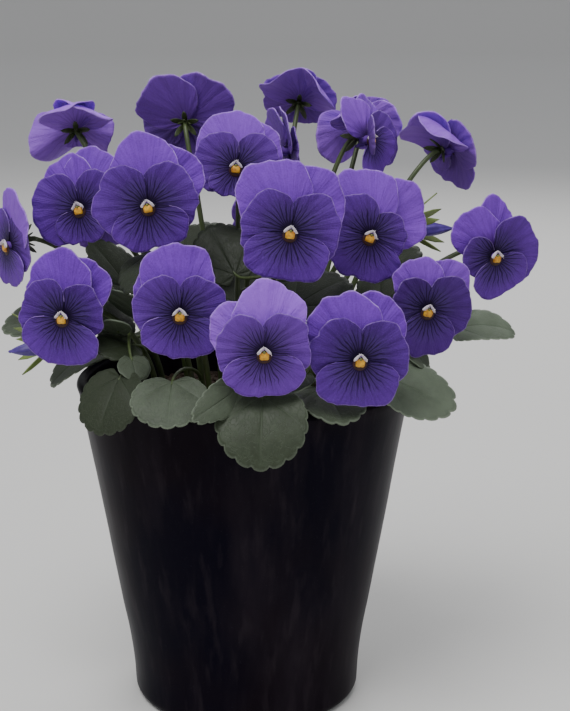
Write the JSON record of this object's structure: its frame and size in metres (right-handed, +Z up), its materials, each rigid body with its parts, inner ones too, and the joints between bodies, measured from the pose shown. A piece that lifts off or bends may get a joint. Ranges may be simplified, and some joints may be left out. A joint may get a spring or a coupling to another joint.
{
  "type": "potted horned violet",
  "caption": "Mound of five-petalled violet flowers over notched green leaves, growing in soil in a tall tapered glazed pot.",
  "frame": {"origin": "centre of the pot's flat base, on the surface that it stands on", "axes": "+Z is up along the pot's axis, -Y is the pictured front, +X is the viewer's right"},
  "size_m": [0.2058, 0.152, 0.2395],
  "materials": {
    "glaze": "glossy near-black navy glaze",
    "soil": "loose dark potting compost, matt",
    "petal": "soft velvety violet petals",
    "leaf": "soft dull green leaves and stems"
  },
  "bodies": {
    "root": {"pot": "glaze", "soil": "soil", "bloom_01": "petal", "bloom_02": "petal", "bloom_03": "petal", "bloom_04": "petal", "bloom_05": "petal", "bloom_06": "petal", "bloom_07": "petal", "bloom_08": "petal", "bloom_09": "petal", "bloom_10": "petal", "bloom_11": "petal", "bloom_12": "petal", "bloom_13": "petal", "bloom_14": "petal", "bloom_15": "petal", "bloom_16": "petal", "bloom_17": "petal", "bloom_18": "petal", "bloom_19": "petal", "bloom_20": "petal", "bloom_21": "petal", "bloom_22": "petal", "stem_01": "leaf", "stem_02": "leaf", "stem_03": "leaf", "stem_04": "leaf", "stem_05": "leaf", "stem_06": "leaf", "stem_07": "leaf", "stem_08": "leaf", "stem_09": "leaf", "stem_10": "leaf", "stem_11": "leaf", "stem_12": "leaf", "stem_13": "leaf", "stem_14": "leaf", "stem_15": "leaf", "stem_16": "leaf", "stem_17": "leaf", "stem_18": "leaf", "stem_19": "leaf", "stem_20": "leaf", "stem_21": "leaf", "stem_22": "leaf", "bud_01": "petal", "bud_stem_01": "leaf", "bud_02": "petal", "bud_stem_02": "leaf"}
  },
  "joints": []
}
